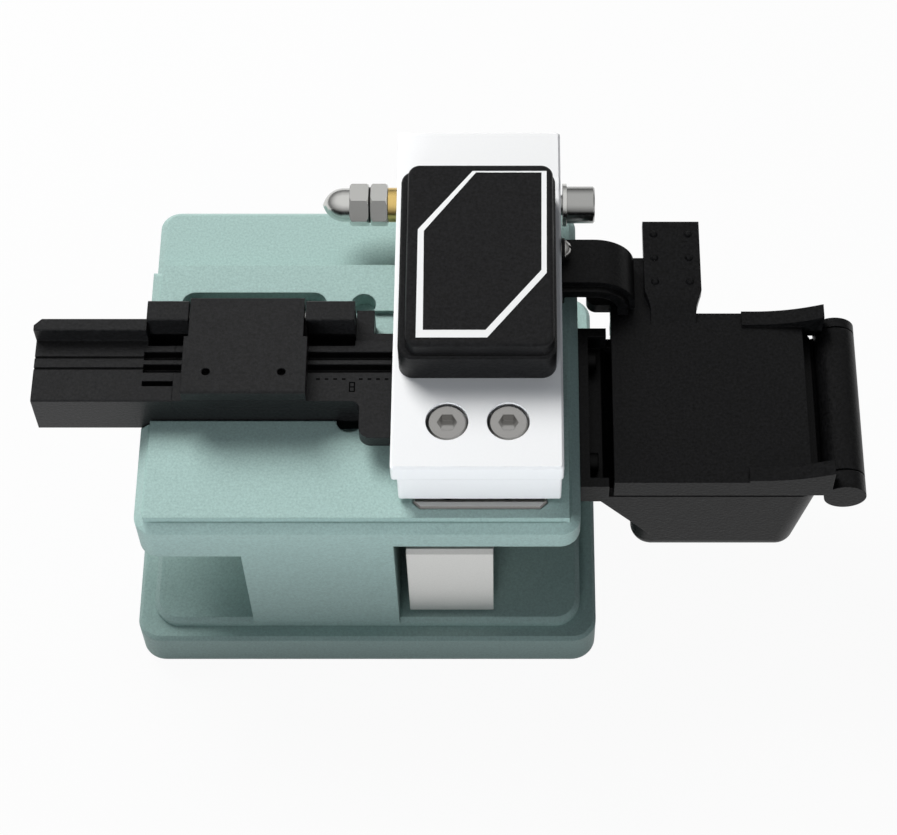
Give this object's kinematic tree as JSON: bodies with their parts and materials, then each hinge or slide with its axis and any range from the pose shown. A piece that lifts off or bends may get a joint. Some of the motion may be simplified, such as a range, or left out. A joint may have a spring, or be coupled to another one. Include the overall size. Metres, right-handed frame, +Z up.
{
  "type": "fibre cleaver",
  "caption": "Bench fibre cleaver: C-shaped frame on a base, hinged clamp arm with cap, fibre platform with flap, sliding wheel blade and scrap bin with sprung cover.",
  "frame": {"origin": "centre of the base plate's footprint, on the table under the rubber mat", "axes": "+Z up, +X to the operator's right towards the scrap bin, +Y away from the operator along the blade's travel"},
  "size_m": [0.0976, 0.0519, 0.0474],
  "materials": {
    "green_anodised": "bead-blasted anodised",
    "white_paint": "satin powder coat",
    "silver_block": "fine satin",
    "black_anodised": "fine matt anodised",
    "black_plastic": "fine grained moulding",
    "cap_plastic": "fine grained moulding",
    "stainless": "turned",
    "nickel": "satin nickel",
    "polished_steel": "polished",
    "blade_steel": "ground",
    "brass_bush": "turned",
    "rail_steel": "ground",
    "spring_steel": "drawn wire",
    "black_screw": "black oxide",
    "magnet": "nickel plated",
    "rubber": "moulded",
    "grey_pad": "ground"
  },
  "bodies": {
    "frame": {"base_plate": "green_anodised", "rubber_mat": "rubber", "base_screws": "stainless", "body_frame": "green_anodised", "keeper_plate": "stainless", "fibre_platform": "black_anodised", "guide_plate": "black_anodised", "platform_screws": "stainless", "platform_magnet": "magnet", "clamp_block": "black_anodised", "clamp_block_screw": "stainless", "lower_pads": "grey_pad", "lid_pin": "polished_steel", "slide_rail": "rail_steel", "rail_screws": "stainless", "stop_block": "silver_block", "stop_screw": "stainless", "stop_bumper": "rubber", "hinge_block": "silver_block", "hinge_block_screws": "stainless", "hinge_bolt": "polished_steel", "hinge_washer": "nickel", "acorn_nut": "nickel", "jam_nut": "nickel", "nut_washer": "black_anodised", "bin_box": "black_plastic", "bin_screws": "black_screw", "bin_pin": "polished_steel", "bin_spring": "spring_steel"},
    "press_arm": {"arm_plate": "white_paint", "arm_foot": "white_paint", "arm_screws": "stainless", "arm_magnets": "magnet", "upper_pads": "grey_pad", "arm_cap": "cap_plastic", "cap_screws": "stainless", "anvil_spring": "spring_steel", "brass_sleeve": "brass_bush", "finger": "black_plastic", "finger_screw": "stainless"},
    "anvil": {"anvil": "blade_steel"},
    "clamp_lid": {"clamp_lid": "black_anodised", "lid_pad": "grey_pad", "lid_magnets": "magnet"},
    "carriage": {"carriage_block": "silver_block", "carriage_runner": "rail_steel", "runner_screws": "stainless", "blade_holder": "silver_block", "holder_screws": "stainless", "blade_axle": "stainless"},
    "blade": {"blade_wheel": "blade_steel"},
    "bin_cover": {"bin_cover": "black_plastic"}
  },
  "joints": [
    {"name": "arm_hinge", "type": "hinge", "parent": "frame", "child": "press_arm", "pos_m": [0.014, 0.0192, 0.0364], "axis": [-1, 0, 0], "range_deg": [0, 75]},
    {"name": "anvil_slide", "type": "slide", "parent": "press_arm", "child": "anvil", "axis": [0, 0, 1], "range_m": [0, 0.0008], "stiffness_N_per_m": 300, "springref_m": -0.002, "deforming": ["anvil_spring"]},
    {"name": "lid_hinge", "type": "hinge", "parent": "frame", "child": "clamp_lid", "pos_m": [-0.0131, 0.0017, 0.0388], "axis": [-1, 0, 0], "range_deg": [0, 100]},
    {"name": "carriage_slide", "type": "slide", "parent": "frame", "child": "carriage", "axis": [0, 1, 0], "range_m": [0, 0.014]},
    {"name": "blade_turn", "type": "hinge", "parent": "carriage", "child": "blade", "pos_m": [0.01395, -0.0098, 0.03125], "axis": [1, 0, 0], "continuous": true},
    {"name": "cover_hinge", "type": "hinge", "parent": "frame", "child": "bin_cover", "pos_m": [0.0571, -0.005, 0.0285], "axis": [0, 1, 0], "range_deg": [0, 12]}
  ],
  "couplings": [
    {"joint": "cover_hinge", "follows": "arm_hinge", "ratio": 0.16}
  ]
}
